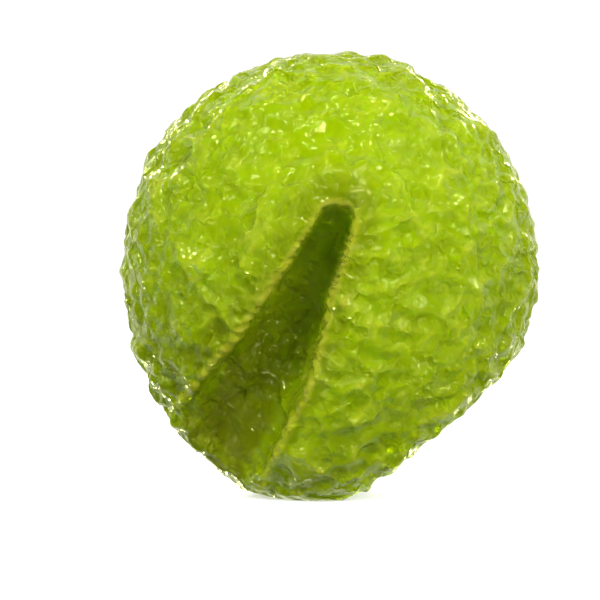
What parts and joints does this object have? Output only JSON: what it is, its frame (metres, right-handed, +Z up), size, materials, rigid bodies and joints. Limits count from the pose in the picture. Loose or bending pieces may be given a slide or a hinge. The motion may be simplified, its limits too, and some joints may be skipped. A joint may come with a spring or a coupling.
{
  "type": "stress ball",
  "caption": "Squeezable gel stress ball with a thick clear crystal-textured skin, held in its pressed shape with a deep thumb groove.",
  "frame": {"origin": "centre of the flattened foot that the ball rests on", "axes": "+Z up, from the foot through the ball's middle; +X to the right when the thumb groove faces the viewer; -Y is the front, the side with the thumb groove; the ball is thinnest along Y"},
  "size_m": [0.094, 0.0592, 0.101],
  "materials": {
    "skin": "glossy, clear lime-tinted soft rubber with a crushed-crystal relief",
    "filling": "wet lime-green gel",
    "plug": "satin soft rubber, lime green",
    "seal": "glossy cured clear glue"
  },
  "bodies": {
    "ball": {"skin": "skin", "filling": "filling"},
    "port": {"fill_plug": "plug", "plug_seal": "seal"}
  },
  "joints": [
    {"name": "squeeze", "type": "slide", "parent": "ball", "child": "port", "axis": [0, -1, 0], "range_m": [-0.014, 0.018], "stiffness_N_per_m": 800, "deforming": ["skin", "filling"]}
  ]
}
